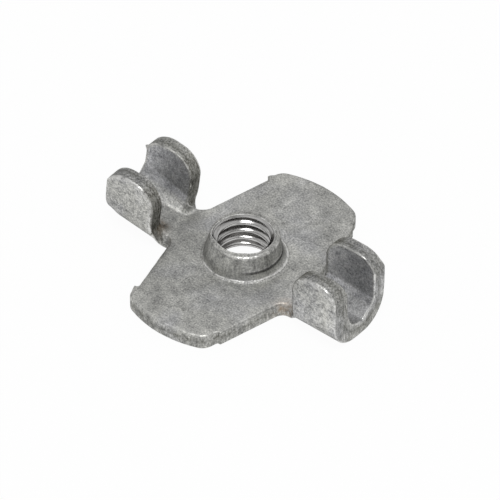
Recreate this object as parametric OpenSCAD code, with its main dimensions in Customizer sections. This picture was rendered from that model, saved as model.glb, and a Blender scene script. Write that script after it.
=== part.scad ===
// Tee nut stamped from one piece of sheet steel: a plate with two broad lobes, a short threaded collar
// drawn up out of its middle and two arms, each rolled up into a U-shaped channel with two ears.
// The origin is on the axis of the collar, at the underside of the plate. Z runs up the collar,
// X along the arms and Y along the lobes.

/* [Sheet] */
// Thickness of the sheet
sheet_t = 2.1; // [1.8:0.1:2.3]

/* [Thread] */
// Nominal diameter of the thread
thread_d = 8; // [6:0.5:8]
// Pitch of the thread
thread_pitch = 1.25; // [1:0.05:1.5]

/* [Collar] */
// Height of the collar above the plate
collar_h = 3.7; // [3:0.1:6]
// Outer diameter of the collar
collar_d = 9.3; // [9.2:0.1:10]
// Rounding of the collar's outer shoulder
shoulder_r = 0.65; // [0.3:0.05:0.9]
// Depth of the lead-in at the mouth of the bore
lead_in = 0.3; // [0.2:0.05:0.5]
// Outer diameter of the coined ring round the foot of the collar
ring_d = 10.7; // [10.4:0.1:12]
// Height of the coined ring above the plate
ring_h = 0.25; // [0.1:0.05:0.4]
// Rounding where the sheet turns up into the collar, on the underside
draw_r = 1.2; // [0.6:0.1:1.6]

/* [Lobes] */
// Reach of a lobe from the middle of the blank to its end
lobe_reach = 16.6; // [15.5:0.1:19]
// Half width of the plate between the lobe sides, at the middle of the blank
lobe_half_w = 10.15; // [9.6:0.05:10.6]
// Angle by which each side of a lobe leans inward toward the end
side_taper = 13.9; // [9:0.1:16]
// Radius of the arc at the end of a lobe
end_r = 15.1; // [13:0.1:20]
// Radius of the corners at the end of a lobe
end_corner_r = 1.85; // [1:0.05:2.2]
// Distance of the end cut from the middle of the blank, where it takes over from the side cut
end_cut_y = 13.3; // [12.6:0.1:13.5]
// Sideways offset of the end cut from the side cut
end_shift = -0.45; // [-0.6:0.05:-0.1]
// Sideways offset of the blank from the axis of the collar
blank_x = 0.15; // [-0.3:0.05:0.3]
// Lengthwise offset of the blank from the axis of the collar
blank_y = 0.15; // [-0.3:0.05:0.3]

/* [Arms] */
// Width of the flat neck that joins an arm to the plate
neck_w = 6.9; // [6:0.1:7.4]
// Radius in the corner between the neck and the side of a lobe
notch_r = 1.15; // [0.8:0.05:1.4]
// Outer width of a rolled channel
channel_w = 10; // [9.4:0.1:10.8]
// Outer bend radius of a channel
bend_r = 4.1; // [3:0.1:4.5]
// Distance from the collar's axis to the end of an arm
arm_reach = 19.3; // [18.4:0.1:21]
// Distance from the collar's axis to the inner end of the ears
ear_start = 11.6; // [11.3:0.1:12.2]
// How far out the near ear of the right arm starts, and how far in the far one starts
right_ear_skew = 0.4; // [0:0.05:0.4]
// Height of the ears of the right arm
right_ear_h = 10.2; // [9.2:0.1:12]
// Height of the ears of the left arm
left_ear_h = 9.6; // [9.2:0.1:12]
// Upward tilt of the left arm
left_arm_tilt = 7; // [0:0.5:9]
// Corner radius of an ear toward the collar
ear_inner_r = 3.3; // [2:0.1:3.5]
// Corner radius of an ear toward the end of the arm
ear_outer_r = 3.5; // [2:0.1:3.6]
// Sideways offset of the right arm from the axis of the collar
right_arm_y = -0.2; // [-0.5:0.05:0.5]
// Sideways offset of the left arm from the axis of the collar
left_arm_y = -0.4; // [-0.5:0.05:0.5]
// Amount by which the end cut trims the outer corner of an ear
ear_trim = 0.4; // [0.1:0.05:0.8]
// Length over which the flat neck rolls up into the channel
flare_l = 1.2; // [0.8:0.1:1.6]
// Height that the roll-up reaches at the inner end of the ears
flare_h = 4.8; // [3:0.1:6]

/* [Cut edges] */
// Rounding of the upper cut edge of the plate
plate_edge_r = 0.4; // [0.2:0.05:0.6]
// Rounding of the outer cut edge of an ear
ear_edge_r = 0.4; // [0.2:0.05:0.6]
// Rounding of the inner cut edge of an ear
ear_inner_edge_r = 0.3; // [0.2:0.05:0.5]

/* [Hidden] */
$fn = 96;
// Overlap that keeps a cut clear of the face that it leaves
over = 1;
// Angle at which the rounding of a cut edge meets the faces beside it
edge_break = 10;
// An outward corner is rounded this much more than a straight edge, and a hollow one this much less
corner_more = 1.12;
hollow_less = 0.8;
// Length by which the rounding of a straight edge runs on into that of a corner
edge_lap = 0.2;
// The minor diameter of a metric thread is the nominal one less this many pitches
minor_pitches = 1.0825;
bore_r = (thread_d - minor_pitches * thread_pitch) / 2;
collar_r = collar_d / 2;
ring_r = ring_d / 2;
collar_top = sheet_t + collar_h;
neck_half_w = neck_w / 2;
channel_half_w = channel_w / 2;
channel_inner_r = channel_half_w - sheet_t;
neck_end = ear_start - flare_l;
// Angle at which the end cut meets the outer corner of an ear
trim_angle = acos(1 - ear_trim / ear_outer_r);
// Depth to which the ends of a roll-up are sunk into the neck and the channel, along the arm and into the sheet
seat_l = 0.6;
seat_t = 0.03;
right_ear_starts = [ear_start + right_ear_skew, ear_start - right_ear_skew];
left_ear_starts = [ear_start, ear_start];
steel = [0.56, 0.56, 0.53];

// The side of a lobe is the line x = lobe_half_w - side_slope * y
side_slope = tan(side_taper);
side_cos = cos(side_taper);
side_sin = sin(side_taper);
function side_x(y) = lobe_half_w - side_slope * y;

// Centre of an end corner: it touches the side of the lobe and, from inside, the arc at the end
end_arc_y = lobe_reach - end_r;
corner_x_at_0 = lobe_half_w - end_corner_r / side_cos;
corner_a = 1 + side_slope * side_slope;
corner_b = corner_x_at_0 * side_slope + end_arc_y;
corner_c = corner_x_at_0 * corner_x_at_0 + end_arc_y * end_arc_y - (end_r - end_corner_r) * (end_r - end_corner_r);
corner_y = (corner_b + sqrt(corner_b * corner_b - corner_a * corner_c)) / corner_a;
corner_x = corner_x_at_0 - side_slope * corner_y;
corner_on_side = [corner_x + end_corner_r * side_cos, corner_y + end_corner_r * side_sin];
corner_angle = atan2(corner_y - end_arc_y, corner_x);
corner_scale = end_r / (end_r - end_corner_r);
corner_on_arc = [corner_x * corner_scale, end_arc_y + (corner_y - end_arc_y) * corner_scale];

module both_sides() {
    children();
    mirror([1, 0]) children();
}

// End of a lobe: two round corners joined by a long arc
module lobe_end() {
    both_sides() translate([corner_x, corner_y]) circle(end_corner_r);
    both_sides() polygon([[0, 0], [side_x(0), 0], corner_on_side, corner_on_arc, [0, corner_on_arc[1]]]);
    intersection() {
        translate([0, end_arc_y]) circle(end_r);
        translate([-corner_on_arc[0], corner_on_arc[1] - over])
            square([2 * corner_on_arc[0], lobe_reach]);
    }
}

// One lobe: the side cuts up to end_cut_y, then the end cut, set a little to one side
module lobe() {
    both_sides() polygon([[0, 0], [side_x(0), 0], [side_x(end_cut_y), end_cut_y], [0, end_cut_y]]);
    intersection() {
        translate([end_shift, 0]) lobe_end();
        translate([-lobe_half_w, end_cut_y - over]) square([2 * lobe_half_w, lobe_reach]);
    }
}

// The radius between the neck and a lobe's side, for an arm (1 right, -1 left) and a lobe (1 far, -1 near)
function arm_y(arm) = arm > 0 ? right_arm_y : left_arm_y;
function notch_y(arm, lobe) = neck_half_w + lobe * arm_y(arm) + notch_r;
function notch_x(arm, lobe) =
    side_x(notch_y(arm, lobe) - lobe * blank_y) + arm * blank_x + notch_r / side_cos;

module quarter(arm, lobe) {
    mirror([arm < 0 ? 1 : 0, 0, 0]) mirror([0, lobe < 0 ? 1 : 0, 0]) children();
}

// Metal left in the corner between the neck and the side of a lobe
module notch_fill(arm, lobe) {
    x = notch_x(arm, lobe);
    y = notch_y(arm, lobe);
    difference() {
        polygon([
            [0, 0],
            [x, 0],
            [x, y],
            [x - notch_r * side_cos, y - notch_r * side_sin],
            [0, y]
        ]);
        translate([x, y]) circle(notch_r);
    }
}

// Section of the metal that rounding takes off a cut edge: the edge is at the origin and the sheet runs to +X below it
module edge_section(r) {
    difference() {
        translate([-over, -r]) square([over + r, r + over]);
        translate([r, -r]) circle(r / cos(edge_break));
    }
}

// Rounding along a straight edge of the face at z = 0, with the sheet on the left of the way from p to q.
// It runs on past each end by the lengths in laps.
module edge_line(p, q, r, laps = [edge_lap, edge_lap]) {
    way = q - p;
    translate([p[0], p[1], 0]) rotate([0, 0, atan2(way[1], way[0])]) translate([-laps[0], 0, 0])
        rotate([90, 0, 90]) linear_extrude(laps[0] + norm(way) + laps[1]) edge_section(r);
}

// Rounding along an outward arc of the face at z = 0
module edge_arc(centre, radius, first, last, r) {
    translate([centre[0], centre[1], 0]) rotate([0, 0, first]) rotate_extrude(angle = last - first)
        translate([radius, 0]) mirror([1, 0]) edge_section(r);
}

// Rounding along a hollow arc of the face at z = 0
module edge_hollow(centre, radius, first, last, r) {
    translate([centre[0], centre[1], 0]) rotate([0, 0, first]) rotate_extrude(angle = last - first)
        translate([radius, 0]) edge_section(r);
}

// Roundings of a quarter of the plate: the notch, the side of the lobe and its corner
module quarter_edges(arm, lobe) {
    notch = [notch_x(arm, lobe), notch_y(arm, lobe)];
    side_start = notch - notch_r * [side_cos, side_sin];
    side_shift = [arm * blank_x, lobe * blank_y];
    end_side_shift = side_shift + [arm * end_shift, 0];
    cut = [side_x(end_cut_y), end_cut_y];
    steps_in = arm * end_shift < 0;
    edge_hollow(notch, notch_r, 176 + side_taper, 270, hollow_less * plate_edge_r);
    edge_line(side_start, cut + side_shift, plate_edge_r, [0, steps_in ? edge_lap : 0]);
    edge_line(cut + end_side_shift, corner_on_side + end_side_shift, plate_edge_r, [steps_in ? 0 : edge_lap, edge_lap]);
    edge_arc([corner_x, corner_y] + end_side_shift, end_corner_r, side_taper, corner_angle, corner_more * plate_edge_r);
}

// Rounding of the arc at the end of a lobe
module lobe_end_edge() {
    lap = edge_lap / end_r * 180 / PI;
    translate([end_shift, 0, 0])
        edge_arc([0, end_arc_y], end_r, corner_angle - lap, 180 - corner_angle + lap, plate_edge_r);
}

module plate() {
    difference() {
        linear_extrude(sheet_t) {
            translate([blank_x, blank_y]) {
                lobe();
                mirror([0, 1]) lobe();
            }
            for (arm = [-1, 1], lobe = [-1, 1]) quarter(arm, lobe) notch_fill(arm, lobe);
        }
        translate([0, 0, sheet_t])
            for (arm = [-1, 1], lobe = [-1, 1]) quarter(arm, lobe) quarter_edges(arm, lobe);
        translate([blank_x, blank_y, sheet_t])
            for (lobe = [0, 1]) mirror([0, lobe, 0]) lobe_end_edge();
    }
}

// Outer section of a rolled channel, up to the height top and set in from its faces by inset
module channel_outside(top, inset = 0) {
    half_w = channel_half_w - inset;
    radius = bend_r - inset;
    intersection() {
        union() {
            for (side = [-1, 1])
                translate([side * (half_w - radius), bend_r]) circle(radius);
            translate([radius - half_w, inset]) square([2 * (half_w - radius), bend_r]);
            translate([-half_w, bend_r]) square([2 * half_w, top]);
        }
        translate([-half_w, 0]) square([2 * half_w, top]);
    }
}

// Section of the trough between the ears, from its round floor up past the height top, widened by inset
module channel_inside(top, inset = 0) {
    radius = channel_inner_r + inset;
    translate([0, sheet_t + channel_inner_r]) circle(radius);
    translate([-radius, sheet_t + channel_inner_r]) square([2 * radius, top]);
}

// Stands a section drawn in the plane of Y and Z upright at x, with a thickness along X
module section_at(x, thickness) {
    translate([x, 0, 0]) rotate([90, 0, 90]) linear_extrude(thickness) children();
}

// Tips an arm up about the line where its neck ends
module tilted(angle) {
    translate([neck_end, 0, 0]) rotate([0, -angle, 0]) translate([-neck_end, 0, 0]) children();
}

// Outline of one ear, seen from the side
module ear_outline(start, top) {
    finish = arm_reach + ear_trim;
    intersection() {
        union() {
            translate([start, 0]) square([finish - start, top - max(ear_inner_r, ear_outer_r)]);
            translate([start + ear_inner_r, 0]) square([finish - start - ear_inner_r - ear_outer_r, top]);
            translate([start + ear_inner_r, top - ear_inner_r]) circle(ear_inner_r);
            translate([finish - ear_outer_r, top - ear_outer_r]) circle(ear_outer_r);
        }
        translate([start, -over]) square([arm_reach - start, top + 2 * over]);
    }
}

// Roundings of one ear, on the face at z = 0 of its outline
module ear_edges(start, top, r) {
    finish = arm_reach + ear_trim;
    inner = [start + ear_inner_r, top - ear_inner_r];
    outer = [finish - ear_outer_r, top - ear_outer_r];
    edge_arc(outer, ear_outer_r, trim_angle - 2, 90, corner_more * r);
    edge_line([outer[0], top], [inner[0], top], r);
    edge_arc(inner, ear_inner_r, 90, 180, corner_more * r);
    edge_line([start, inner[1]], [start, flare_h + ear_edge_r], r, [edge_lap, 0]);
}

// Roundings of both faces of the ear on the -Y side
module near_ear_edges(start, top) {
    translate([0, -channel_half_w, 0]) rotate([90, 0, 0]) ear_edges(start, top, ear_edge_r);
    translate([0, -channel_inner_r, 0]) mirror([0, 1, 0]) rotate([90, 0, 0])
        ear_edges(start, top, ear_inner_edge_r);
}

// Roundings of the end of a channel, drawn in the plane of Y and Z
module channel_end_edges(top) {
    trim_z = top - ear_outer_r * (1 - sin(trim_angle));
    bend_y = channel_half_w - bend_r;
    inside_z = sheet_t + channel_inner_r;
    edge_line([-bend_y, 0], [bend_y, 0], ear_edge_r);
    for (side = [0, 1]) mirror([side, 0, 0]) {
        edge_arc([bend_y, bend_r], bend_r, 270, 360, corner_more * ear_edge_r);
        edge_line([channel_half_w, bend_r], [channel_half_w, trim_z], ear_edge_r);
        edge_line([channel_inner_r, trim_z], [channel_inner_r, inside_z], ear_inner_edge_r, [edge_lap, 0]);
    }
    edge_hollow([0, inside_z], channel_inner_r, 176, 364, hollow_less * ear_inner_edge_r);
}

// Channel of one arm, with the near ear on the -Y side and the far one on the +Y side
module channel(starts, top) {
    difference() {
        intersection() {
            difference() {
                section_at(0, arm_reach) channel_outside(top);
                section_at(-over, arm_reach + 2 * over) channel_inside(top);
            }
            for (far = [0, 1])
                translate([0, far * channel_w, 0]) rotate([90, 0, 0])
                    linear_extrude(channel_w) ear_outline(starts[far], top);
        }
        for (far = [0, 1]) mirror([0, far, 0]) near_ear_edges(starts[far], top);
        translate([arm_reach, 0, 0]) rotate([90, 0, 90]) channel_end_edges(top);
    }
}

// Stretch over which the flat neck rolls up into the channel
module roll_up(starts, tilt) {
    difference() {
        hull() {
            section_at(neck_end - seat_l, seat_l / 2)
                translate([seat_t - neck_half_w, seat_t]) square([neck_w - 2 * seat_t, sheet_t - 2 * seat_t]);
            tilted(tilt) section_at(max(starts) + seat_l / 2, seat_l / 2) channel_outside(flare_h, seat_t);
        }
        hull() {
            section_at(neck_end - 2 * over, over)
                translate([-channel_half_w, sheet_t - seat_t]) square([channel_w, 2 * flare_h]);
            tilted(tilt) section_at(min(starts), 2 * over) channel_inside(2 * flare_h, seat_t);
        }
    }
}

// One arm along +X, with the neck that joins it to the plate
module arm(starts, top, tilt) {
    translate([0, -neck_half_w, 0]) cube([neck_end, neck_w, sheet_t]);
    roll_up(starts, tilt);
    tilted(tilt) channel(starts, top);
}

// Half section of the collar and the coined ring, seen in the plane of radius and height
module collar_section() {
    square([collar_r, collar_top - shoulder_r]);
    square([collar_r - shoulder_r, collar_top]);
    translate([collar_r - shoulder_r, collar_top - shoulder_r]) circle(shoulder_r);
    square([ring_r - ring_h, sheet_t + ring_h]);
    intersection() {
        translate([ring_r - ring_h, sheet_t]) circle(ring_h);
        square([ring_r, collar_top]);
    }
}

module collar() {
    rotate_extrude() intersection() {
        collar_section();
        square([ring_r, collar_top]);
    }
}

// Tapping bore with a lead-in at the mouth and a rounded turn-up on the underside
module bore() {
    translate([0, 0, -over]) cylinder(r = bore_r, h = collar_top + 2 * over);
    translate([0, 0, collar_top - lead_in])
        cylinder(r1 = bore_r, r2 = bore_r + lead_in + over, h = lead_in + over);
    rotate_extrude() difference() {
        translate([0, -over]) square([bore_r + draw_r, draw_r + over]);
        translate([bore_r + draw_r, draw_r]) circle(draw_r);
    }
}

module tee_nut() {
    color(steel) difference() {
        union() {
            plate();
            translate([0, right_arm_y, 0]) arm(right_ear_starts, right_ear_h, 0);
            translate([0, left_arm_y, 0]) rotate([0, 0, 180]) arm(left_ear_starts, left_ear_h, left_arm_tilt);
            collar();
        }
        bore();
    }
}

tee_nut();
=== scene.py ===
"""Dresses the tee nut: one sheet of zinc-plated steel, its rolled arms, drawn collar and thread.

The sheet is laid out flat as a blank, its cut edges are rounded, and it is then folded into shape.
Lengths are in millimetres until the mesh is made, and in metres after that.
"""

import math

import bpy
import numpy as np
from mathutils import Matrix, Vector, noise
from mathutils.geometry import delaunay_2d_cdt


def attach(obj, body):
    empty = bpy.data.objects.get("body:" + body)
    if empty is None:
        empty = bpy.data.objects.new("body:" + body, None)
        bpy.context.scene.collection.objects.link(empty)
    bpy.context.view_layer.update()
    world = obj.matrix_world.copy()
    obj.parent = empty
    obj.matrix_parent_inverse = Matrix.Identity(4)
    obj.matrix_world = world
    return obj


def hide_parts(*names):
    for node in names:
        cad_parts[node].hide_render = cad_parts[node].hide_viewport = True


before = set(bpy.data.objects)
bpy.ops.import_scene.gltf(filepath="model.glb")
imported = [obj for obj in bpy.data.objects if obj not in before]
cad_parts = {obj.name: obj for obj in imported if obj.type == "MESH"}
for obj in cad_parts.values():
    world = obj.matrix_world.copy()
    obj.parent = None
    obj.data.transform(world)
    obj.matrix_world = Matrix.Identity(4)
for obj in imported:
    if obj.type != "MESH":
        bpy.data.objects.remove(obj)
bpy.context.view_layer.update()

MM = 0.001
QUARTER_TURN = math.pi / 2
TINY = 1e-6

# Sheet and blank. A table by quarter is keyed by the arm's side of the collar, 1 for the right arm
# (X), and the side of that arm (Y).
SHEET_T = 2.1
HALF_T = SHEET_T / 2
LOBE_REACH = 16.6
LOBE_HALF_W = 10.15
SIDE_TAPER = math.radians(13.9)
SIDE_OUT = {(1, -1): 0.0, (1, 1): 0.0, (-1, -1): 0.0, (-1, 1): 0.2}
END_R = 15.1
END_CORNER_R = 1.85
END_CUT_Y = 13.3
END_SHIFT = -0.45
BLANK_X = 0.15
BLANK_Y = 0.15
NECK_HALF_W = 3.45

# Arms: each is bent into a channel, and its ears are the channel's walls
CHANNEL_HALF_W = 5.0
BEND_R = 4.1
BEND_LENGTH = (BEND_R - HALF_T) * QUARTER_TURN
CHANNEL_FLAT = CHANNEL_HALF_W - BEND_R
ARM_REACH = 19.3
ARM_Y = {1: -0.2, -1: -0.4}
ARM_Y_SPAN = (9.0, 11.2)
EAR_START = {(1, -1): 12.0, (1, 1): 11.2, (-1, -1): 11.6, (-1, 1): 11.6}
EAR_H = {(1, -1): 10.2, (1, 1): 10.2, (-1, -1): 9.62, (-1, 1): 9.64}
EAR_INNER_R = 3.3
EAR_OUTER_R = {(1, -1): 3.5, (1, 1): 3.5, (-1, -1): 4.0, (-1, 1): 3.9}
EAR_TRIM = 0.4
ROLL_UP_FROM = {(1, -1): 1.8, (1, 1): 1.25, (-1, -1): 1.7, (-1, 1): 1.25}
ROLL_UP_TO = {(1, -1): 0.0, (1, 1): 0.55, (-1, -1): 0.0, (-1, 1): 0.3}

# The left arm tips up along its neck
LEFT_TILT = math.radians(7)
TILT_SPAN = (9.6, 11.0)
TILT_PATH_LENGTH = 25
TILT_PATH_POINTS = 2501

# Inside of the troughs: the corner between floor and wall, and swells and pinches near the ends
TROUGH_FROM = 11.0
TROUGH_CORNER_START = {(1, -1): 1.3, (1, 1): 2.0, (-1, -1): 1.6, (-1, 1): 1.6}
TROUGH_CORNER_END = {(1, -1): 3.4, (1, 1): 2.2, (-1, -1): 2.6, (-1, 1): 2.6}
TROUGH_FLAT = {(1, -1): 0.0, (1, 1): 0.8, (-1, -1): 0.0, (-1, 1): 0.65}
END_SWELL = {(1, -1): 0.55, (1, 1): 0.0, (-1, -1): 0.2, (-1, 1): 0.0}
END_SWELL_FROM = 15.5
END_PINCH = {(1, -1): 0.0, (1, 1): 0.27, (-1, -1): 0.3, (-1, 1): 0.0}
END_PINCH_FROM = 17.0
END_PINCH_AT = 4.4
END_PINCH_W = 2.2

# Cut edges: pairs give the rounding on the upper and on the lower side of the sheet
PLATE_EDGE_R = (0.42, 0.16)
EAR_EDGE_R = (0.2, 0.4)
ARM_END_EDGE_R = (0.25, 0.15)
ARM_END_FROM = 18.6
EDGE_R_MAX = 1
EDGE_R_PER_BEND = 0.6
EDGE_R_BLEND = 0.8
STRAIGHT_CURVATURE = 1e-3
BREAKOUT = 0.03
SHEAR_WAVE = 0.05
SHEAR_WAVE_SCALE = 0.9

# Burr at the corner of one ear, on the inside of its channel
BURR_QUARTER = (-1, 1)
BURR_REACH = 0.3
BURR_W = 0.35

# Collar: pairs give the side away from the lean and the side of the lean, where the wall is a cone
COLLAR_TOP = SHEET_T + 3.7
COLLAR_LEAN = math.radians(219.6)
LEAN_SPREAD = (0.1, 0.85)
RIM_R = (4.17, 4.3)
SHOULDER_R = (0.45, 0.08)
WALL_FOOT_R = (4.86, 5.06)
WALL_FOOT_H = (1.45, 1.2)
WALL_DENTS = 0.065
DENT_SCALE = 11

# Ring round the collar's foot: its edge is a table of angles in degrees and radii
RING_EDGE = (
    (-140, 5.44), (-75, 5.06), (-45, 5.06), (5, 5.48), (40, 5.72), (110, 5.44), (180, 5.4))
RING_SMOOTHING_TURNS = 1 / 30
RING_EDGE_H = 0.22
RING_EDGE_POWER = 1.6
RING_FOOT_W = 0.2
RING_FLAT_R = 6.0

# Crease between the ring's flare and the wall
CREASE_W = 0.09
CREASE_H = 0.06
CREASE_LIP_H = 0.02
CREASE_LIP_SHARE = 0.4
CREASE_MIDDLE = math.radians(4)
CREASE_SPREAD = (0.35, 0.8)

# Sharp edge of the mouth, which the thread's first turn leaves uneven: angles in degrees and radii.
# Its lip has rows that each lie some way out from the edge, at a share of the burr's height.
MOUTH_EDGE = (
    (-140, 4.16), (-117, 3.74), (-96, 3.72), (-50, 3.62),
    (-22, 3.86), (28, 3.9), (80, 3.72), (140, 3.72))
MOUTH_LIP = ((0.13, 0.0), (0.07, 0.8), (0.03, 1.0))
MOUTH_BURR = 0.06
MOUTH_BURR_LEVEL = 0.6
MOUTH_BURR_SCALE = 7

# Thread and bore
PITCH = 1.25
MAJOR_R = 4.0
THREAD_DEPTH = 0.541 * PITCH
MINOR_R = MAJOR_R - THREAD_DEPTH
THREAD_FLANK = PITCH * 5 / 16
HALF_CREST = PITCH / 8
THREAD_PHASE = 0.24
THREAD_RUN_IN = 0.3
DRAW_R = 1.2

# Mesh density
OUTLINE_STEP = 0.13
OUTLINE_SMOOTHING = 1.0
FACE_STEP = 0.32
ROUND_ROWS = 5
CUT_ROWS = 5
THREAD_ROW_STEP = 0.05
DRAW_ROWS = 13
RING_ROWS = 7
FLARE_ROWS = 8
WALL_ROWS = 7
SHOULDER_ROWS = 6
AROUND = 208
COLLAR_ANGLES = np.linspace(0, 2 * math.pi, AROUND, endpoint=False)

# Triangulation: the whole hull, with points closer than this taken as one
HULL_TRIANGLES = 0
SAME_POINT = 1e-7

# Rows of the collar that carry marks, counted from the plate, and others counted back from the bore
RING_EDGE_ROW = RING_ROWS
CREASE_ROW = RING_ROWS + FLARE_ROWS
DRAWN_SPAN = (RING_EDGE_ROW + 3, CREASE_ROW + 1)
# The ring's edge, the shoulder and the mouth are painted paler than the plating, as highlights
SHOULDER_FROM_BORE = (5, 6, 7, 8)
MOUTH_FROM_BORE = (0, 1, 2)

# Marks on the sheet: shares of the cut edge's depth, and distances along and across the arms
SHEAR_LINE = 0.44
SHEAR_LINE_W = 0.07
EDGE_BURR_FROM = 0.74
EDGE_BURR = 0.6
PLATE_RUB = 0.25
EAR_WALL = (3.2, 4.6)
INNER_END = (1.2, 2.8)
INNER_END_POWER = 4
# Where the painted shade at an ear's root spreads across the arm, and where it ends along it
ROOT_SPREAD = (1.2, 2.2)
ROOT_END = (-0.1, 0.3)

# Brown staining at the roots of two ears: places and radii
STAINS = (((9.9, -3.9, 1.2), 1.3), ((-11.9, -2.9, 2.4), 1.1))

# Finish: colours of the plating, colours laid over it and shades that it is multiplied by
ZINC = ((0.12, (0.2, 0.2, 0.197)), (0.5, (0.5, 0.5, 0.48)), (0.88, (0.86, 0.855, 0.81)))
# Bluish tint of the plating in patches, and a painted bluish shade in the troughs
BLUISH_SHADE = (0.88, 0.89, 1.0)
PIT_SHADE = (0.4, 0.4, 0.4)
WORN_COLOUR = (0.9, 0.895, 0.84)
WORN_SHADE = (0.45, 0.45, 0.44)
CUT_SHADE = (0.42, 0.42, 0.4)
SHEAR_LINE_SHADE = (0.4, 0.4, 0.38)
INNER_END_SHADE = (0.5, 0.485, 0.44)
DRAWN_SHADE = (0.4, 0.4, 0.39)
# Painted shade, multiplied in where shade falls: in the collar's crease and at the ears' roots
PAINTED_CREASE_SHADE = (0.12, 0.12, 0.12)
PAINTED_ROOT_SHADE = (0.35, 0.35, 0.34)
STAIN_COLOUR = (0.4, 0.28, 0.18)
# Paler colours of rubbed edges and burrs; on the collar's ring edge, shoulder and mouth they are
# painted highlights
RUBBED_AND_GLINT_COLOUR = (0.76, 0.755, 0.73)
BURR_AND_GLINT_COLOUR = (0.92, 0.915, 0.9)
BORE_DARK = (0.3, 0.297, 0.29)
BORE_PALE = (0.66, 0.652, 0.64)

# Finish: shares of the layers, from 0 to 1
PATCH_SHARE = 0.2
CLOUD_SHARE = 0.33
GRAIN_SHARE = 0.47
SCRATCH_SHARE = 0.6
MARRING_SHARE = 0.5
MARRING_DEPTH = 0.4
# Painted bluish shade in the troughs, and how much of the scuffing reaches them
PAINTED_TROUGH_SHADE = 0.6
TROUGH_SCUFF = 0.4
# Painted shade in the collar's crease and at the ears' roots
PAINTED_CREASE_SHARE = 0.85
PAINTED_ROOT_SHARE = 0.9
STAIN_SHARE = 0.7
# Rubbed edges are paler and polished; the paleness also paints highlights on the collar
RUB_AND_GLINT_SHARE = 0.65
RUB_POLISH = 0.9
POLISH_FLATTENS = 0.8
CUT_EXTRA_ROUGHNESS = 0.05
POLISHED_ROUGHNESS = 0.16

# Stage, in metres
FLOOR_SIZE = 3
FLOOR_GREY = 0.9
FLOOR_WHITE_SHARE = 0.95
WORLD_STRENGTH = 0.67
LAMP_SIZE = 0.34
LAMP_ENERGY = 2.9
LAMP_AZIMUTH = math.radians(40)
LAMP_FROM_ZENITH = math.radians(20)

# Camera, from the fit to the photograph: angles in degrees, lengths in millimetres
CAMERA_AZIMUTH = 39.6
CAMERA_ELEVATION = 42.46
CAMERA_ROLL = -0.16
CAMERA_DISTANCE = 2500
CAMERA_OFFSET = (-0.751, -2.263)
CAMERA_CLIP_END = 10000
PIXELS_PER_MM = 7.85
IMAGE_SIZE = 500
SENSOR_W = 36


# ---- Outline of the flat blank

def arc(centre, radius, first, last):
    """Points on an arc between two angles in degrees, twice as dense as the outline's."""
    count = max(3, int(abs(math.radians(last - first)) * radius / OUTLINE_STEP * 2))
    angles = np.radians(np.linspace(first, last, count))
    x, y = centre[0] + radius * np.cos(angles), centre[1] + radius * np.sin(angles)
    return np.column_stack([x, y])


def ear_outline(arm, side):
    """One ear of the blank, from the middle of the arm's end round to the ear's inner end."""
    start, outer_r = EAR_START[arm, side], EAR_OUTER_R[arm, side]
    tip = CHANNEL_FLAT + BEND_LENGTH + EAR_H[arm, side] - BEND_R
    finish = ARM_REACH + EAR_TRIM
    trim_angle = math.degrees(math.acos(1 - EAR_TRIM / outer_r))
    return np.vstack([
        [[ARM_REACH, 0]],
        arc((finish - outer_r, tip - outer_r), outer_r, trim_angle, 90),
        arc((start + EAR_INNER_R, tip - EAR_INNER_R), EAR_INNER_R, 90, 180),
    ])


def notch_outline(start, half_w):
    """Round notch between an ear and the side of a lobe, touching both and the neck's edge."""
    slope = math.tan(SIDE_TAPER)
    radius = (start - half_w + slope * NECK_HALF_W) / (1 / math.cos(SIDE_TAPER) + 1 - slope)
    centre = (start - radius, NECK_HALF_W + radius)
    return arc(centre, radius, 0, math.degrees(SIDE_TAPER) - 180)


def end_corner():
    """Centres of an end corner, which touches the lobe's side and end arc, and of that arc."""
    slope = math.tan(SIDE_TAPER)
    arc_y = LOBE_REACH - END_R
    x_at_0 = LOBE_HALF_W - END_CORNER_R / math.cos(SIDE_TAPER)
    a = 1 + slope ** 2
    b = x_at_0 * slope + arc_y
    c = x_at_0 ** 2 + arc_y ** 2 - (END_R - END_CORNER_R) ** 2
    y = (b + math.sqrt(b * b - a * c)) / a
    return np.array([x_at_0 - slope * y, y]), np.array([0, arc_y])


def lobe_outline(arm, side, half_w):
    """Half a lobe of the blank, from its side cut to the middle of its end."""
    cut_y = END_CUT_Y + side * BLANK_Y
    cut_x = half_w - math.tan(SIDE_TAPER) * cut_y
    shift = np.array([arm * (END_SHIFT + BLANK_X), side * BLANK_Y])
    corner, arc_centre = end_corner()
    to_arc = corner - arc_centre
    arc_angle = math.degrees(math.atan2(to_arc[1], to_arc[0]))
    return np.vstack([
        [[cut_x, cut_y], [cut_x + arm * END_SHIFT, cut_y]],
        arc(corner + shift, END_CORNER_R, math.degrees(SIDE_TAPER), arc_angle),
        arc(arc_centre + shift, END_R, arc_angle, 90),
    ])


def quarter_outline(arm, side):
    """A quarter of the blank, from the middle of an arm's end to the middle of a lobe's end."""
    half_w = LOBE_HALF_W + arm * BLANK_X + math.tan(SIDE_TAPER) * side * BLANK_Y
    half_w += SIDE_OUT[arm, side]
    points = np.vstack([
        ear_outline(arm, side),
        notch_outline(EAR_START[arm, side], half_w),
        lobe_outline(arm, side, half_w),
    ])
    return points * [arm, side]


def resampled(points, step):
    """Even steps round a closed loop."""
    closed = np.vstack([points, points[:1]])
    along = np.concatenate([[0], np.cumsum(np.hypot(*np.diff(closed, axis=0).T))])
    at = np.linspace(0, along[-1], int(along[-1] / step), endpoint=False)
    return np.column_stack([np.interp(at, along, closed[:, i]) for i in range(2)])


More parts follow.
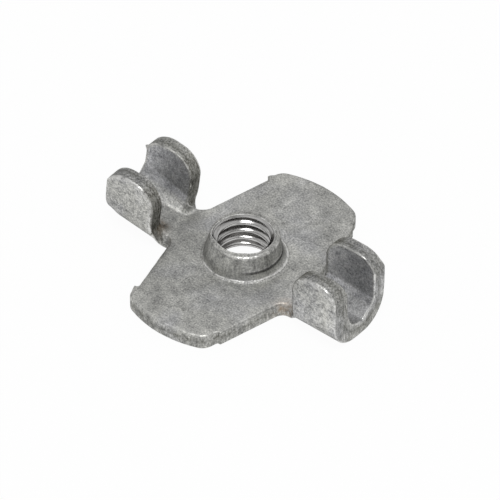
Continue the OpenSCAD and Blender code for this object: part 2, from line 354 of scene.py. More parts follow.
def smoothed(values, sigma):
    """Gaussian smoothing round a closed loop, with sigma in samples."""
    offsets = np.arange(-int(3 * sigma) - 1, int(3 * sigma) + 2)
    weights = np.exp(-0.5 * (offsets / sigma) ** 2)
    total = sum(w * np.roll(values, -o, axis=0) for o, w in zip(offsets, weights))
    return total / weights.sum()


def blank_outline():
    """Outline of the whole blank, counter-clockwise."""
    loop = np.vstack([
        quarter_outline(1, 1),
        quarter_outline(-1, 1)[::-1],
        quarter_outline(-1, -1),
        quarter_outline(1, -1)[::-1],
    ])
    return smoothed(resampled(loop, OUTLINE_STEP), OUTLINE_SMOOTHING)


def inward_normals(loop):
    """Unit normals of a counter-clockwise loop, pointing to its inside."""
    tangent = np.roll(loop, -1, axis=0) - np.roll(loop, 1, axis=0)
    tangent /= np.hypot(*tangent.T)[:, None]
    return np.column_stack([-tangent[:, 1], tangent[:, 0]])


def rounding_limit(loop):
    """Largest edge rounding that each point of the outline has room for."""
    before, after = loop - np.roll(loop, 1, axis=0), np.roll(loop, -1, axis=0) - loop
    lengths = np.hypot(*before.T), np.hypot(*after.T)
    cross = before[:, 0] * after[:, 1] - before[:, 1] * after[:, 0]
    turn = cross / (lengths[0] * lengths[1])
    curvature = np.maximum(2 * turn / (lengths[0] + lengths[1]), STRAIGHT_CURVATURE)
    limit = np.minimum(EDGE_R_PER_BEND / curvature, EDGE_R_MAX)
    reach = int(EDGE_R_BLEND / OUTLINE_STEP)
    limit = np.min([np.roll(limit, o) for o in range(-reach, reach + 1)], axis=0)
    return smoothed(limit, reach / 3)


# ---- Folding

def smoothstep(low, high, value):
    """Smooth rise from 0 at low to 1 at high."""
    f = np.clip((value - low) / (high - low), 0, 1)
    return f * f * (3 - 2 * f)


def between(pair, share):
    """Value between the two of a pair, at a share of the way."""
    return pair[0] + (pair[1] - pair[0]) * share


def by_quarter(x, s, table):
    """Value of each point's quarter of the blank."""
    arm, side = np.where(x >= 0, 1, -1), np.where(s >= 0, 1, -1)
    return np.select([(arm == a) & (side == b) for a, b in table], list(table.values()))


def roll_angle(x, s):
    """Angle to which the sheet is rolled up at each point's place along its arm."""
    tables = (EAR_START, ROLL_UP_FROM, ROLL_UP_TO)
    start, first, last = (by_quarter(x, s, table) for table in tables)
    return QUARTER_TURN * smoothstep(start - first, start - last, np.abs(x))


def rolled_share(x, s):
    """How far the sheet is rolled up, from 0 in the plate to 1 along an ear."""
    return roll_angle(x, s) / QUARTER_TURN


def trough_corner(x, s):
    """Radius of the trough's inside corner, which grows from the start of the arm to its end."""
    tables = (TROUGH_CORNER_START, TROUGH_CORNER_END)
    along = np.clip((np.abs(x) - TROUGH_FROM) / (ARM_REACH - TROUGH_FROM), 0, 1)
    return between([by_quarter(x, s, table) for table in tables], along)


def trough_swell(theta, across, up, corner_r, flat):
    """Extra thickness of a rolled arm where its inside and its outside aren't concentric.

    The outside is followed by its distance across the bottom, its angle round the bend and its
    rise up the wall. The inside is met along the outside's normal: its floor, its wall or the
    corner between them, which is round or, by the share flat, cut straight across.
    """
    wall_y = CHANNEL_HALF_W - SHEET_T
    sine, cosine = np.sin(theta), np.cos(theta)
    y, z = across + BEND_R * sine, BEND_R * (1 - cosine) + up
    to_floor = np.where(cosine > TINY, (SHEET_T - z) / np.maximum(cosine, TINY), 0)
    to_wall = np.where(sine > TINY, (y - wall_y) / np.maximum(sine, TINY), 0)
    depth = np.maximum(to_floor, to_wall)
    dy, dz = y - (wall_y - corner_r), z - (SHEET_T + corner_r)
    in_corner = (dy - depth * sine > 0) & (dz + depth * cosine < 0)
    inward = dz * cosine - dy * sine
    reach = np.sqrt(np.maximum(inward ** 2 - dy ** 2 - dz ** 2 + corner_r ** 2, 0))
    to_round = -inward - reach
    to_flat = (dy - dz - corner_r) / (sine + cosine)
    to_corner = between((to_round, to_flat), flat)
    return np.where(in_corner, np.maximum(depth, to_corner), depth) - SHEET_T


def swollen(x, s, n, in_bend, past_bend, angle):
    """Height above the sheet's middle after the walls swell inside and are pinched outside."""
    theta = in_bend / BEND_LENGTH * QUARTER_TURN
    across = np.minimum(np.abs(s), CHANNEL_FLAT)
    flat = by_quarter(x, s, TROUGH_FLAT)
    swell = trough_swell(theta, across, past_bend, trough_corner(x, s), flat)
    end_swell = by_quarter(x, s, END_SWELL) * smoothstep(END_SWELL_FROM, ARM_REACH, np.abs(x))
    swell += end_swell * np.sin(theta) ** 2
    swell = swell * angle / QUARTER_TURN
    n = -HALF_T + (n + HALF_T) * (1 + swell / SHEET_T)
    pinch = by_quarter(x, s, END_PINCH) * smoothstep(END_PINCH_FROM, ARM_REACH, np.abs(x))
    pinch = pinch * np.exp(-((np.abs(s) - END_PINCH_AT) / END_PINCH_W) ** 2)
    return n + pinch * (0.5 - n / SHEET_T)


def rolled(x, s, n):
    """Distance from the middle line and height above the underside, once the arms are rolled."""
    angle = np.maximum(roll_angle(x, s), TINY)
    in_bend = np.clip(np.abs(s) - CHANNEL_FLAT, 0, BEND_LENGTH)
    past_bend = np.maximum(np.abs(s) - CHANNEL_FLAT - BEND_LENGTH, 0)
    theta = angle * in_bend / BEND_LENGTH
    sine, cosine = np.sin(theta), np.cos(theta)
    radius = BEND_LENGTH / angle
    y = np.minimum(np.abs(s), CHANNEL_FLAT) + radius * sine + past_bend * cosine
    z = radius * (1 - cosine) + past_bend * sine
    n = swollen(x, s, n, in_bend, past_bend, angle)
    return np.sign(s) * (y - n * sine), HALF_T + z + n * cosine


def tilted(x, z):
    """Tips the left arm up about the underside of its neck."""
    path = np.linspace(0, TILT_PATH_LENGTH, TILT_PATH_POINTS)
    tilt = LEFT_TILT * smoothstep(*TILT_SPAN, path)
    step = path[1] - path[0]
    path_x = np.concatenate([[0], np.cumsum(np.cos(tilt[1:])) * step])
    path_z = np.concatenate([[0], np.cumsum(np.sin(tilt[1:])) * step])
    here = np.interp(-x, path, tilt)
    new_x = np.interp(-x, path, path_x) - z * np.sin(here)
    new_z = np.interp(-x, path, path_z) + z * np.cos(here)
    return np.where(x < 0, -new_x, x), np.where(x < 0, new_z, z)


def fold(x, s, n):
    """Places in space of points of the blank: x along the arms, s across, n up from its middle."""
    y, z = rolled(x, s, n)
    y = y + np.where(x > 0, ARM_Y[1], ARM_Y[-1]) * smoothstep(*ARM_Y_SPAN, np.abs(x))
    x, z = tilted(x, z)
    return np.stack([x, y, z], axis=-1)


# ---- Rows of the cut edge

def noise_at(points, scale):
    """Noise from about -1 to 1 at each of the points."""
    return np.array([noise.noise(Vector(p) * scale) for p in points])


def edge_roundings(loop):
    """Rounding of the cut edge on its upper and lower side, at each point of the outline."""
    share, limit = rolled_share(*loop.T), rounding_limit(loop)
    at_end = smoothstep(ARM_END_FROM, ARM_REACH, np.abs(loop[:, 0]))
    return [np.minimum(between((between((plate, ear), share), end), at_end), limit)
            for plate, ear, end in zip(PLATE_EDGE_R, EAR_EDGE_R, ARM_END_EDGE_R)]


def edge_rows(loop):
    """Blank places and heights of the cut edge, row by row from the upper face to the lower."""
    upper, lower = edge_roundings(loop)
    ripple = noise_at(np.column_stack([loop, np.zeros(len(loop))]), SHEAR_WAVE_SCALE)
    wave = SHEAR_WAVE * (0.5 + 0.5 * ripple)
    burr_corner = quarter_outline(*BURR_QUARTER)[1]
    burr = BURR_REACH * np.exp(-(np.hypot(*(loop - burr_corner).T) / BURR_W) ** 2)
    quarter = np.linspace(0, QUARTER_TURN, ROUND_ROWS)
    rows = []
    for b in quarter:
        inset = upper * (1 - math.sin(b)) + wave * math.sin(b) - burr * math.sin(2 * b)
        rows.append((inset, HALF_T - upper * (1 - math.cos(b))))
    for f in np.linspace(0, 1, CUT_ROWS + 2)[1:-1]:
        height = HALF_T - upper + (upper + lower - SHEET_T) * f
        rows.append((wave + BREAKOUT * f ** 2, height))
    for b in quarter[::-1]:
        inset = lower * (1 - math.sin(b)) + (wave + BREAKOUT) * math.sin(b)
        rows.append((inset, lower * (1 - math.cos(b)) - HALF_T))
    insets, heights = np.swapaxes(rows, 0, 1)
    return loop + inward_normals(loop) * insets[..., None], heights


# ---- Rows of the collar

def round_edge(table, angle):
    """Radius of an uneven round edge, from a table of angles in degrees and radii."""
    return np.interp(np.degrees(angle), *np.transpose(table), period=360)


def collar_crease(angle):
    """Depth, from 0 to 1, of the crease at the foot of the collar's wall."""
    return smoothstep(*CREASE_SPREAD, np.cos(angle - CREASE_MIDDLE))


def foot_rows(angle, foot_r, foot_h):
    """Radii and heights above the plate of the ring, its flare and the crease over it."""
    ring_r = smoothed(round_edge(RING_EDGE, angle), AROUND * RING_SMOOTHING_TURNS)
    crease = CREASE_W * collar_crease(angle)
    level = np.zeros(len(angle))
    rows = [(RING_FLAT_R + level, level)]
    for f in np.linspace(0, 1, RING_ROWS):
        height = RING_EDGE_H * f ** RING_EDGE_POWER
        rows.append((ring_r + RING_FOOT_W * (1 - f), height + level))
    for t in np.linspace(0, QUARTER_TURN, FLARE_ROWS + 1)[1:]:
        radius = foot_r + crease + (ring_r - foot_r - crease) * (1 - math.sin(t))
        rows.append((radius, RING_EDGE_H + (foot_h - RING_EDGE_H) * (1 - math.cos(t))))
    rows.append((foot_r + CREASE_LIP_SHARE * crease, foot_h + CREASE_LIP_H))
    return rows


def wall_rows(foot_r, foot_h, wall_r, shoulder_r):
    """Radii and heights above the plate of the collar's wall and shoulder."""
    top = COLLAR_TOP - SHEET_T - shoulder_r
    rows = []
    for f in np.linspace(0, 1, WALL_ROWS):
        height = foot_h + CREASE_H + (top - foot_h - CREASE_H) * f
        rows.append((foot_r + (wall_r - foot_r) * f, height))
    for b in np.linspace(0, QUARTER_TURN, SHOULDER_ROWS + 1)[1:]:
        rows.append((wall_r - shoulder_r * (1 - math.cos(b)), top + shoulder_r * math.sin(b)))
    return rows


def mouth_rows(angle, here, rim_r):
    """Radii and heights above the plate of the burred lip round the collar's mouth."""
    burr = MOUTH_BURR * (MOUTH_BURR_LEVEL + noise_at(here, MOUTH_BURR_SCALE))
    edge_r = round_edge(MOUTH_EDGE, angle)
    return [(np.minimum(edge_r + outward, rim_r), COLLAR_TOP - SHEET_T + burr * up)
            for outward, up in MOUTH_LIP]


def collar_outside(angle):
    """Radii and heights of the collar's outside, row by row from the plate up to its mouth."""
    lean = smoothstep(*LEAN_SPREAD, np.cos(angle - COLLAR_LEAN))
    rim_r, shoulder_r, foot_r, foot_h = (
        between(pair, lean) for pair in (RIM_R, SHOULDER_R, WALL_FOOT_R, WALL_FOOT_H))
    here = np.column_stack([np.cos(angle), np.sin(angle), np.zeros(len(angle))])
    wall_r = rim_r + shoulder_r + WALL_DENTS * noise_at(here, DENT_SCALE)
    rows = foot_rows(angle, foot_r, foot_h)
    rows += wall_rows(foot_r, foot_h, wall_r, shoulder_r)
    rows += mouth_rows(angle, here, rim_r)
    radii, heights = np.swapaxes(rows, 0, 1)
    return radii, heights + SHEET_T


def thread_radius(angle, z):
    """Radius of a right-hand metric thread, cut into the bore."""
    phase = (z / PITCH - angle / (2 * math.pi) + THREAD_PHASE) % 1
    from_crest = np.abs(phase - 0.5) * PITCH
    return MINOR_R + THREAD_DEPTH * np.clip((from_crest - HALF_CREST) / THREAD_FLANK, 0, 1)


def bore_rows(angle):
    """Radii and heights of the bore's wall, from its mouth down to the plate's underside."""
    first, last = COLLAR_TOP - THREAD_ROW_STEP, DRAW_R + THREAD_ROW_STEP / 2
    threaded = np.arange(first, last, -THREAD_ROW_STEP)
    turn = np.linspace(0, QUARTER_TURN, DRAW_ROWS)
    heights = np.concatenate([[COLLAR_TOP], threaded, DRAW_R * (1 - np.sin(turn))])
    edge_r = round_edge(MOUTH_EDGE, angle)
    radii = []
    for z in heights:
        mouth = edge_r - (COLLAR_TOP - z)
        drawn = DRAW_R - math.sqrt(DRAW_R ** 2 - max(DRAW_R - z, 0) ** 2)
        run_in = min((COLLAR_TOP - z) / THREAD_RUN_IN, 1) * (z > 0)
        cut = MINOR_R + run_in * (thread_radius(angle, z) - MINOR_R)
        radii.append(np.maximum(np.maximum(mouth, MINOR_R + drawn), cut))
    return np.array(radii), np.repeat(heights[:, None], AROUND, 1)


def collar_rows():
    """Rows of points over the collar and down its bore, and how many of them are outside."""
    angle = COLLAR_ANGLES
    outside, bore = collar_outside(angle), bore_rows(angle)
    radii, heights = (np.vstack(pair) for pair in zip(outside, bore))
    points = np.stack([radii * np.cos(angle), radii * np.sin(angle), heights], -1)
    return points, len(outside[0])


# ---- Faces

def inside(points, loop):
    """Which points lie inside a closed loop."""
    x, y = points.T
    result = np.zeros(len(points), bool)
    for (x0, y0), (x1, y1) in zip(loop, np.roll(loop, -1, axis=0)):
        if y0 != y1:
            crosses = (y0 > y) != (y1 > y)
            result ^= crosses & (x < x0 + (y - y0) * (x1 - x0) / (y1 - y0))
    return result


def face_points(loop, hole_r):
    """Even triangular grid of points inside the loop and outside the hole, clear of both."""
    row_step = FACE_STEP * math.sqrt(3) / 2
    low, high = loop.min(axis=0), loop.max(axis=0)
    rows = np.arange(low[1], high[1], row_step)
    grid = np.array([
        (x + (i % 2) * FACE_STEP / 2, y)
        for i, y in enumerate(rows) for x in np.arange(low[0], high[0], FACE_STEP)])
    grid = grid[inside(grid, loop) & (np.hypot(*grid.T) > hole_r + FACE_STEP / 2)]
    clear = np.array([np.min(np.hypot(*(loop - p).T)) > FACE_STEP / 2 for p in grid])
    return grid[clear]


def face_triangles(loop, hole, points):
    """Counter-clockwise triangles between loop and hole, as indices into loop, hole and points."""
    coords = np.vstack([loop, hole, points])
    n, m = len(loop), len(hole)
    edges = [(i, (i + 1) % n) for i in range(n)]
    edges += [(n + i, n + (i + 1) % m) for i in range(m)]
    vectors = [Vector(p) for p in coords]
    _, _, found, sources, _, _ = delaunay_2d_cdt(vectors, edges, [], HULL_TRIANGLES, SAME_POINT)
    triangles = np.array([source[0] for source in sources])[np.array(found)]
    in_hole = np.all((triangles >= n) & (triangles < n + m), axis=1)
    triangles = triangles[inside(coords[triangles].mean(axis=1), loop) & ~in_hole]
    a, b, c = (coords[triangles[:, i]] for i in range(3))
    ab, ac = b - a, c - a
    clockwise = ab[:, 0] * ac[:, 1] < ab[:, 1] * ac[:, 0]
    triangles[clockwise] = triangles[clockwise][:, ::-1]
    return triangles


def strip_quads(rows, count, first):
    """Quads between rows of a closed strip whose vertices start at index first."""
    i, k = np.arange(count), np.arange(rows - 1)[:, None]
    j = (i + 1) % count
    here, below = first + k * count, first + (k + 1) * count
    return np.stack([here + i, below + i, below + j, here + j], -1).reshape(-1, 4)


# ---- Marks: values from 0 to 1 on the points of the mesh, which the finish follows

def painted_root_shade(x, s):
    """How far each point of the upper face lies in the root of an ear, where a dark shade is
    painted.
    """
    before_ear = 1 - smoothstep(*ROOT_END, np.abs(x) - by_quarter(x, s, EAR_START))
    return rolled_share(x, s) * before_ear * smoothstep(*ROOT_SPREAD, np.abs(s))


def edge_marks(loop, row_count):
    """Marks on the cut edge: rubbed and sheared rows, the burr, the ears' inner ends and painted
    shade at their roots.
    """
    share = rolled_share(*loop.T)
    rounding = np.sin(np.linspace(0, math.pi, ROUND_ROWS))
    rub_rows = np.concatenate([rounding, np.zeros(CUT_ROWS), rounding])
    ramp = np.linspace(0, 1, ROUND_ROWS)
    cut_rows = np.concatenate([ramp, np.ones(CUT_ROWS), ramp[::-1]])
    depth = np.linspace(0, 1, row_count)
    from_start = np.abs(loop[:, 0]) - by_quarter(*loop.T, EAR_START)
    inner_end = share ** INNER_END_POWER * (1 - smoothstep(*INNER_END, from_start))
    all_round = np.ones(len(loop))
    marks = {
        "rub": np.outer(rub_rows, between((PLATE_RUB, 1), share)),
        "cut": np.outer(cut_rows, all_round),
        "shear": np.outer(np.exp(-((depth - SHEAR_LINE) / SHEAR_LINE_W) ** 2), all_round),
        "burr": np.outer((depth > EDGE_BURR_FROM) * EDGE_BURR, all_round),
        "inner_end": np.outer(cut_rows, inner_end),
        # Painted shade at the ears' roots, on the upper rows of the cut edge
        "root": np.outer(np.arange(row_count) < ROUND_ROWS, painted_root_shade(*loop.T)),
    }
    return {name: values.ravel() for name, values in marks.items()}


def collar_marks(row_count, outside_rows):
    """Marks on the collar: its rubbed and burred edges, which also carry painted highlights, its
    drawn wall, painted shade in its crease, and its bore.
    """
    row = np.arange(row_count)
    from_bore = outside_rows - row
    on_ring_edge = np.abs(row - RING_EDGE_ROW) <= 1
    in_painted_crease_shade = np.abs(row - CREASE_ROW) <= 1
    all_round = np.ones(AROUND)
    marks = {
        # Paler rows on the ring's edge, shoulder and mouth are painted highlights
        "rub": np.outer(on_ring_edge | np.isin(from_bore, SHOULDER_FROM_BORE), all_round),
        "burr": np.outer(on_ring_edge | np.isin(from_bore, MOUTH_FROM_BORE), all_round),
        "drawn": np.outer(smoothstep(*DRAWN_SPAN, row) * (from_bore > 0), all_round),
        # Painted shade in the crease at the collar's foot
        "crease": np.outer(in_painted_crease_shade, collar_crease(COLLAR_ANGLES)),
        "bore": np.outer(from_bore < 0, all_round),
    }
    return {name: values.ravel() for name, values in marks.items()}


def face_marks(grid, is_upper):
    """Marks on a face: the ears' walls, inside or outside, and the painted shade at the roots of
    the ears.
    """
    ear_wall = rolled_share(*grid.T) * smoothstep(*EAR_WALL, np.abs(grid[:, 1]))
    # The upper face carries the painted shade at the ears' roots
    return {"trough": ear_wall, "root": painted_root_shade(*grid.T)} if is_upper else {"scuff": ear_wall}


def stain_marks(points):
    """Brown staining by each point's distance from the middles of the stains."""
    return sum(np.exp(-(np.linalg.norm(points - c, axis=1) / r) ** 2) for c, r in STAINS)


def joined_marks(points, marks):
    """Marks of all groups of points together, with 0 where a group lacks a mark."""
    joined = {}
    for name in sorted(set().union(*marks)):
        groups = [group.get(name, np.zeros(len(p))) for p, group in zip(points, marks)]
        joined[name] = np.concatenate(groups)
    joined["stain"] = stain_marks(np.vstack(points))
    return joined


# ---- Mesh

def marked_mesh(points, faces, marks):
    """Smooth Blender mesh in metres, with each mark as an attribute of its points."""
    mesh = bpy.data.meshes.new("tee_nut_sheet")
    mesh.from_pydata((points * MM).tolist(), [], faces)
    for name, values in marks.items():
        attribute = mesh.attributes.new(name, "FLOAT", "POINT")
        attribute.data.foreach_set("value", values.astype(np.float32))
    mesh.shade_smooth()
    mesh.validate()
    return mesh


def tee_nut_mesh():
    """The whole sheet as one closed mesh: cut edge, collar with bore, upper and lower face."""
    loop = blank_outline()
    places, heights = edge_rows(loop)
    collar, outside_rows = collar_rows()
    edge_count, collar_count = heights.size, collar.size // 3
    points = [fold(places[..., 0], places[..., 1], heights).reshape(-1, 3), collar.reshape(-1, 3)]
    marks = [edge_marks(loop, len(places)), collar_marks(len(collar), outside_rows)]
    faces = strip_quads(len(places), len(loop), 0).tolist()
    faces += strip_quads(len(collar), AROUND, edge_count)[:, ::-1].tolist()
    edge_ids = np.arange(edge_count).reshape(len(places), -1)
    collar_ids = edge_count + np.arange(collar_count).reshape(len(collar), -1)
    for row, height, order in ((0, HALF_T, 1), (-1, -HALF_T, -1)):
        rim, hole = places[row], collar[row][:, :2]
        grid = face_points(rim, np.hypot(*hole[0]))
        grid_ids = sum(len(p) for p in points) + np.arange(len(grid))
        ids = np.concatenate([edge_ids[row], collar_ids[row], grid_ids])
        faces += ids[face_triangles(rim, hole, grid)][:, ::order].tolist()
        points.append(fold(*grid.T, np.full(len(grid), height)))
        marks.append(face_marks(grid, row == 0))
    return marked_mesh(np.vstack(points), faces, joined_marks(points, marks))


# ---- Material

class Nodes:
    """Short names for making and linking the nodes of one material or world."""

    def __init__(self, tree):
        self.tree = tree
        tree.nodes.clear()

    def put(self, socket, value):
        """Links a socket to another, or gives it a plain value."""
        if isinstance(value, bpy.types.NodeSocket):
            self.tree.links.new(value, socket)
        else:
            socket.default_value = value

    def add(self, kind, inputs=None, **settings):
        """New node with its settings and inputs."""
        made = self.tree.nodes.new(kind)
        for name, value in settings.items():
            setattr(made, name, value)
        for name, value in (inputs or {}).items():
            self.put(made.inputs[name], value)
        return made

    def math(self, operation, a, b):
        return self.add("ShaderNodeMath", {0: a, 1: b}, operation=operation).outputs[0]

    def plus(self, a, b):
        return self.math("ADD", a, b)

    def minus(self, a, b):
        return self.math("SUBTRACT", a, b)

    def times(self, a, b):
        return self.math("MULTIPLY", a, b)

    def larger(self, a, b):
        return self.math("MAXIMUM", a, b)

    def spread(self, value, span, to=(0, 1)):
        """Carries a span of values over to another, clamped at its ends."""
        made = self.add("ShaderNodeMapRange", {
            "Value": value, "From Min": span[0], "From Max": span[1],
            "To Min": to[0], "To Max": to[1]})
        return made.outputs["Result"]

    def mix(self, factor, a, b, blend="MIX"):
        """Colour between two, each a socket or a plain colour."""
        made = self.add("ShaderNodeMix", {0: factor}, data_type="RGBA", blend_type=blend)
        for index, value in ((6, a), (7, b)):
            self.put(made.inputs[index], (*value, 1) if isinstance(value, tuple) else value)
        return made.outputs[2]

    def shade(self, factor, colour, by):
        """Colour multiplied by another."""
        return self.mix(factor, colour, by, "MULTIPLY")

    def ramp(self, value, stops):
        """Colour from a ramp of places and colours."""
        made = self.add("ShaderNodeValToRGB", {"Fac": value})
        elements = made.color_ramp.elements
        for place, _ in stops[2:]:
            elements.new(place)
        for element, (place, colour) in zip(elements, stops):
            element.position = place
            element.color = (*colour, 1)
        return made.outputs["Color"]


class Zinc(Nodes):
    """Dull zinc plating in layers, each of which takes a colour and gives it back changed."""

    def __init__(self, tree):
        super().__init__(tree)
        self.place = self.add("ShaderNodeTexCoord").outputs["Object"]
        self.patches = self.noise(scale=170, detail=3, roughness=0.55, distortion=0.8)
        self.cloud = self.noise(scale=700, detail=5, roughness=0.68, distortion=0.4)
        self.grain = self.noise(scale=4300, detail=3, roughness=0.7)
        self.sheared = self.streaks((3600, 3600, 900))

    def noise(self, scale, detail, roughness, distortion=0, vector=None):
        made = self.add("ShaderNodeTexNoise", {
            "Vector": self.place if vector is None else vector, "Scale": scale,
            "Detail": detail, "Roughness": roughness, "Distortion": distortion})
        return made.outputs["Fac"]

    def streaks(self, scale, turn=0, detail=4, roughness=0.7):
        """Noise that is turned about Z and stretched by its own scale along each axis."""
        stretched = self.add("ShaderNodeMapping", {
            "Vector": self.place, "Rotation": (0, 0, turn), "Scale": scale})
        return self.noise(1, detail, roughness, vector=stretched.outputs["Vector"])

    def scratches(self, scale, turn):
        """Fine straight lines: streaks of which only the highest part is kept."""
        return self.spread(self.streaks(scale, turn, detail=2, roughness=0.5), (0.66, 0.74))

    def mark(self, name, share=1.0):
        """A value that is marked on the points of the mesh, times a share."""
        attribute = self.add("ShaderNodeAttribute", attribute_name=name)
        return self.times(attribute.outputs["Fac"], share)

    def tone(self):
        """Lightness of the plating, from its patches, clouds and grain."""
        patches = self.times(self.spread(self.patches, (0.3, 0.7)), PATCH_SHARE)
        cloud = self.times(self.spread(self.cloud, (0.3, 0.7)), CLOUD_SHARE)
        grain = self.times(self.spread(self.grain, (0.345, 0.655)), GRAIN_SHARE)
        return self.plus(patches, self.plus(cloud, grain))

    def marring(self):
        """Pits in some patches, and scratches in two directions."""
        cells = self.add("ShaderNodeTexVoronoi", {
            "Vector": self.place, "Scale": 520, "Randomness": 1})
        pits = self.spread(cells.outputs["Distance"], (0.1, 0.2), to=(1, 0))
        pits = self.times(pits, self.spread(self.patches, (0.52, 0.6)))
        lines = self.larger(self.scratches((150, 3200, 900), turn=0.5),
                            self.scratches((130, 3600, 900), turn=-0.9))
        return self.larger(pits, self.times(lines, SCRATCH_SHARE))

    def plated(self, tone, marring):
        """Mottled grey, bluish in places, with a painted bluish shade in the troughs, and its pits
        and scratches.
        """
        bluish_tint_and_shade = self.noise(scale=120, detail=3, roughness=0.5, distortion=0.5)
        bluish_tint_and_shade = self.spread(bluish_tint_and_shade, (0.48, 0.66), to=(0, 0.4))
        # The troughs' insides get a painted bluish shade
        bluish_tint_and_shade = self.larger(bluish_tint_and_shade, self.mark("trough", PAINTED_TROUGH_SHADE))
        colour = self.shade(bluish_tint_and_shade, self.ramp(tone, ZINC), BLUISH_SHADE)
        return self.shade(self.times(marring, MARRING_SHARE), colour, PIT_SHADE)

    def scuffed(self, colour):
        """Worn pale and dark spots on the ears, fewer on their insides."""
        scuff = self.larger(self.mark("scuff"), self.mark("trough", TROUGH_SCUFF))
        worn = self.noise(scale=1350, detail=6, roughness=0.72, distortion=0.7)
        pale = self.times(scuff, self.spread(worn, (0.5, 0.6), to=(0, 0.38)))
        dark = self.times(scuff, self.spread(worn, (0.46, 0.38), to=(0, 0.55)))
        return self.shade(dark, self.mix(pale, colour, WORN_COLOUR), WORN_SHADE)

    def cut_edges(self, colour):
        """Streaks and the break line of the sheared edges, and the ears' darker inner ends."""
        streaks = self.mark("cut", self.spread(self.sheared, (0.4, 0.6), to=(0.72, 0)))
        colour = self.shade(streaks, colour, CUT_SHADE)
        line = self.mark("shear", self.spread(self.cloud, (0.42, 0.54), to=(0, 0.8)))
        colour = self.shade(line, colour, SHEAR_LINE_SHADE)
        inner_end = self.mark("inner_end", self.spread(self.sheared, (0.36, 0.6), to=(0.9, 0.3)))
        return self.shade(inner_end, colour, INNER_END_SHADE)

    def hollows(self, colour):
        """Draw marks on the collar's wall, painted shade in its crease and at the roots of the
        ears, and brown stains there.
        """
        drawn = self.spread(self.streaks((2400, 2400, 300)), (0.4, 0.6), to=(0.45, 0))
        colour = self.shade(self.mark("drawn", drawn), colour, DRAWN_SHADE)
        # Painted shade in the crease at the collar's foot
        colour = self.shade(self.mark("crease", PAINTED_CREASE_SHARE), colour, PAINTED_CREASE_SHADE)
        # Painted shade at the roots of the ears
        colour = self.shade(self.mark("root", PAINTED_ROOT_SHARE), colour, PAINTED_ROOT_SHADE)
        stain = self.mark("stain", self.spread(self.cloud, (0.42, 0.6)))
        return self.mix(self.times(stain, STAIN_SHARE), colour, STAIN_COLOUR)

    def rub(self):
        """Where the edges are rubbed smooth, and where glints are painted on the collar's ring edge
        and shoulder.
        """
        rubbed = self.noise(scale=1100, detail=3, roughness=0.6)
        return self.mark("rub", self.spread(rubbed, (0.43, 0.56)))

    def bright_edges(self, colour, rub):
        """Rubbed edges and burrs, paler, which also paint highlights on the collar's ring edge,
        shoulder and mouth.
        """
        colour = self.mix(self.times(rub, RUB_AND_GLINT_SHARE), colour, RUBBED_AND_GLINT_COLOUR)
        burr = self.noise(scale=1500, detail=4, roughness=0.7)
        burr = self.mark("burr", self.spread(burr, (0.44, 0.58), to=(0, 0.8)))
        return self.mix(burr, colour, BURR_AND_GLINT_COLOUR)

    def turned_bore(self, colour, bore):
        """Fine turned lines in the cut thread."""
        turned = self.spread(self.streaks((260, 260, 4600)), (0.36, 0.64))
        return self.mix(bore, colour, self.mix(turned, BORE_DARK, BORE_PALE))

    def roughness(self, tone, smooth):
        """Duller where the plating is dark and on cut edges, polished where it is smooth."""
        dull = self.spread(tone, (0.2, 0.8), to=(0.58, 0.44))
        dull = self.plus(dull, self.mark("cut", CUT_EXTRA_ROUGHNESS))
        return self.plus(dull, self.times(smooth, self.minus(POLISHED_ROUGHNESS, dull)))

    def normal(self, marring, smooth):
        """Relief of the clouds, grain, pits and scratches, weaker where the metal is smooth."""
        dips = self.times(marring, MARRING_DEPTH)
        relief = self.minus(self.plus(self.cloud, self.grain), dips)
        relief = self.times(relief, self.minus(1, self.times(smooth, POLISH_FLATTENS)))
        bump = {"Height": relief, "Strength": 0.6, "Distance": 0.00005}
        return self.add("ShaderNodeBump", bump).outputs["Normal"]


def zinc_material():
    """Dull zinc plating: mottled grey with grain, pits, scratches, rubbed edges and a thread, with
    painted shade in hollows and painted highlights on the collar.
    """
    material = bpy.data.materials.new("zinc_plating")
    material.use_nodes = True
    zinc = Zinc(material.node_tree)
    tone, marring, rub, bore = zinc.tone(), zinc.marring(), zinc.rub(), zinc.mark("bore")
    smooth = zinc.larger(zinc.times(rub, RUB_POLISH), bore)
    colour = zinc.plated(tone, marring)
    for layer in (zinc.scuffed, zinc.cut_edges, zinc.hollows):
        colour = layer(colour)
    colour = zinc.turned_bore(zinc.bright_edges(colour, rub), bore)
    shader = zinc.add("ShaderNodeBsdfPrincipled", {
        "Base Color": colour, "Metallic": 1.0, "Roughness": zinc.roughness(tone, smooth),
        "Normal": zinc.normal(marring, smooth), "Specular Tint": (0.4, 0.4, 0.4, 1)})
    zinc.add("ShaderNodeOutputMaterial", {"Surface": shader.outputs["BSDF"]})
    return material


# ---- Stage

def white_to_the_eye(n, lit, strength):
    """Mixes a surface with plain white for the rays that show it directly or in a reflection."""
    path = n.add("ShaderNodeLightPath").outputs
    mirrored = n.larger(path["Is Glossy Ray"], path["Is Transmission Ray"])
    seen = n.larger(path["Is Camera Ray"], mirrored)
    glow = n.add("ShaderNodeEmission", {"Color": (1, 1, 1, 1), "Strength": 1})
    mixed = {0: n.times(seen, strength), 1: lit, 2: glow.outputs[0]}
    return n.add("ShaderNodeMixShader", mixed).outputs[0]


def add_floor():
    """Pale paper that keeps the object's shadow and looks almost white."""
    bpy.ops.mesh.primitive_plane_add(size=FLOOR_SIZE)
    floor = bpy.context.object
    floor.name = "floor"
    material = bpy.data.materials.new("floor_paper")
    material.use_nodes = True
    n = Nodes(material.node_tree)
    paper = n.add("ShaderNodeBsdfDiffuse", {"Color": (FLOOR_GREY, FLOOR_GREY, FLOOR_GREY, 1)})
    surface = white_to_the_eye(n, paper.outputs[0], FLOOR_WHITE_SHARE)
    n.add("ShaderNodeOutputMaterial", {"Surface": surface})
    floor.data.materials.append(material)


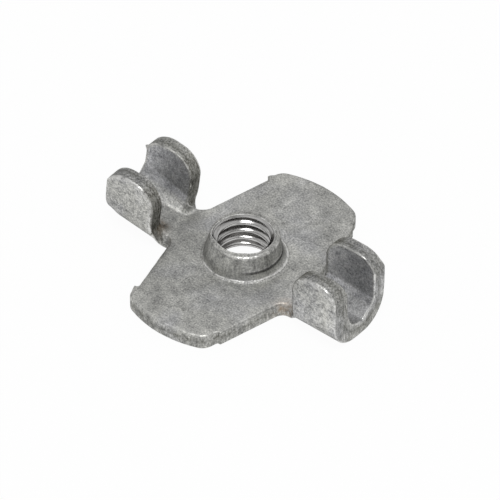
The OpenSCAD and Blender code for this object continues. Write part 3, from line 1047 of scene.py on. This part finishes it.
def add_light():
    """Even white surroundings and one softbox, a metre from the object."""
    world = bpy.data.worlds.new("studio")
    world.use_nodes = True
    n = Nodes(world.node_tree)
    backdrop = {"Color": (1, 1, 1, 1), "Strength": WORLD_STRENGTH}
    backdrop = n.add("ShaderNodeBackground", backdrop).outputs[0]
    n.add("ShaderNodeOutputWorld", {"Surface": backdrop})
    bpy.context.scene.world = world
    lamp = bpy.data.lights.new("softbox", "AREA")
    lamp.shape = "RECTANGLE"
    lamp.size = LAMP_SIZE
    lamp.size_y = LAMP_SIZE
    lamp.energy = LAMP_ENERGY
    softbox = bpy.data.objects.new("softbox", lamp)
    bpy.context.collection.objects.link(softbox)
    towards = Vector((math.sin(LAMP_AZIMUTH), -math.cos(LAMP_AZIMUTH), 0))
    height = Vector((0, 0, math.cos(LAMP_FROM_ZENITH)))
    softbox.location = towards * math.sin(LAMP_FROM_ZENITH) + height
    softbox.rotation_euler = softbox.location.to_track_quat("Z", "Y").to_euler()


def add_camera():
    """Camera at the photograph's angle, with the object where the photograph has it."""
    a, e, roll = (math.radians(d) for d in (CAMERA_AZIMUTH, CAMERA_ELEVATION, CAMERA_ROLL))
    level_right = Vector((math.cos(a), math.sin(a), 0))
    back = Vector((math.sin(a) * math.cos(e), -math.cos(a) * math.cos(e), math.sin(e)))
    level_up = back.cross(level_right)
    right = math.cos(roll) * level_right - math.sin(roll) * level_up
    up = math.sin(roll) * level_right + math.cos(roll) * level_up
    camera = bpy.data.objects.new("camera", bpy.data.cameras.new("camera"))
    camera.data.sensor_width = SENSOR_W
    camera.data.lens = PIXELS_PER_MM * CAMERA_DISTANCE * SENSOR_W / IMAGE_SIZE
    camera.data.clip_end = CAMERA_CLIP_END * MM
    place = back * CAMERA_DISTANCE - right * CAMERA_OFFSET[0] - up * CAMERA_OFFSET[1]
    axes = Matrix((right, up, back)).transposed().to_4x4()
    camera.matrix_world = Matrix.Translation(place * MM) @ axes
    bpy.context.collection.objects.link(camera)
    bpy.context.scene.camera = camera


def main():
    """Makes the sheet and the stage."""
    sheet = bpy.data.objects.new("tee_nut_sheet", tee_nut_mesh())
    bpy.context.collection.objects.link(sheet)
    sheet.data.materials.append(zinc_material())
    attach(sheet, "root")
    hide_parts("tee_nut")
    add_floor()
    add_light()
    add_camera()
    bpy.context.scene.view_settings.view_transform = "Standard"


main()
